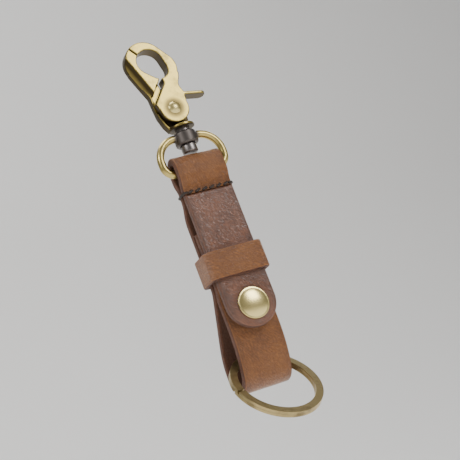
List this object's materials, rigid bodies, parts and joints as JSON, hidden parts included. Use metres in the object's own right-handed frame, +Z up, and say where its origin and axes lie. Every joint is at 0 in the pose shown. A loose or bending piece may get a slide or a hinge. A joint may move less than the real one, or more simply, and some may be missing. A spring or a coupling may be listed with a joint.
{
  "type": "leather strap keychain with snap hook",
  "caption": "Folded leather strap keychain: scissor snap hook on a swivel D-ring, press-stud tongue, sliding keeper and flat split key ring.",
  "frame": {"origin": "centre of the upper, load-bearing arc of the snap hook's eye, in the middle of the hook's thickness", "axes": "+Z up along the swivel's axis towards the hook, +X across the strap towards the thumb lever, the strap's front with the snap's cap faces -Y"},
  "size_m": [0.0346, 0.0283, 0.1539],
  "materials": {
    "hook_body": "cast, satin, with a slightly aged surface",
    "hook_gate": "cast, satin, with a slightly aged surface",
    "gate_rivet": "bright domed heads",
    "gate_spring": "drawn spring wire",
    "swivel_stud": "dark bronze plating",
    "dring": "cast, satin, boss darker than the wire",
    "strap": "pebbled, dark painted edges",
    "tongue": "fine wrinkles, soft sheen",
    "stitching": "waxed thread",
    "keeper": "pebbled, dark painted edges",
    "keeper_stitches": "waxed thread",
    "snap_cap": "bright pressed cap",
    "snap_socket": "pressed",
    "snap_spring": "spring wire",
    "snap_stud": "pressed",
    "snap_post": "pressed",
    "key_ring": "brushed, aged"
  },
  "bodies": {
    "hook": {"hook_body": "hook_body", "gate_rivet": "gate_rivet", "gate_spring": "gate_spring", "swivel_stud": "swivel_stud"},
    "gate": {"hook_gate": "hook_gate"},
    "ring": {"dring": "dring"},
    "strap": {"strap": "strap", "stitching": "stitching", "snap_stud": "snap_stud", "snap_post": "snap_post"},
    "keeper": {"keeper": "keeper", "keeper_stitches": "keeper_stitches"},
    "tongue": {"tongue": "tongue", "snap_cap": "snap_cap", "snap_socket": "snap_socket", "snap_spring": "snap_spring"},
    "key_ring": {"key_ring": "key_ring"}
  },
  "joints": [
    {"name": "gate_pivot", "type": "hinge", "parent": "hook", "child": "gate", "pos_m": [0.0029, 0, -0.0203], "axis": [0, 1, 0], "range_deg": [0, 25], "stiffness_Nm_per_rad": 0.02, "springref_deg": -28.65},
    {"name": "swivel", "type": "hinge", "parent": "hook", "child": "ring", "pos_m": [0.0037, 0, -0.0328], "axis": [0, 0, 1], "continuous": true},
    {"name": "strap_swing", "type": "hinge", "parent": "ring", "child": "strap", "pos_m": [0.0037, 0, -0.0458], "axis": [1, 0, 0], "range_deg": [-70, 70]},
    {"name": "keeper_slide", "type": "slide", "parent": "strap", "child": "keeper", "axis": [0, 0, 1], "range_m": [0, 0.019]},
    {"name": "tongue_hinge", "type": "hinge", "parent": "strap", "child": "tongue", "pos_m": [0.0037, -0.003, -0.0901], "axis": [-1, 0, 0], "range_deg": [0, 75]},
    {"name": "key_ring_swing", "type": "hinge", "parent": "strap", "child": "key_ring", "pos_m": [0.002, 0.01301, -0.11752], "axis": [1, 0, 0], "range_deg": [-45, 45]}
  ]
}
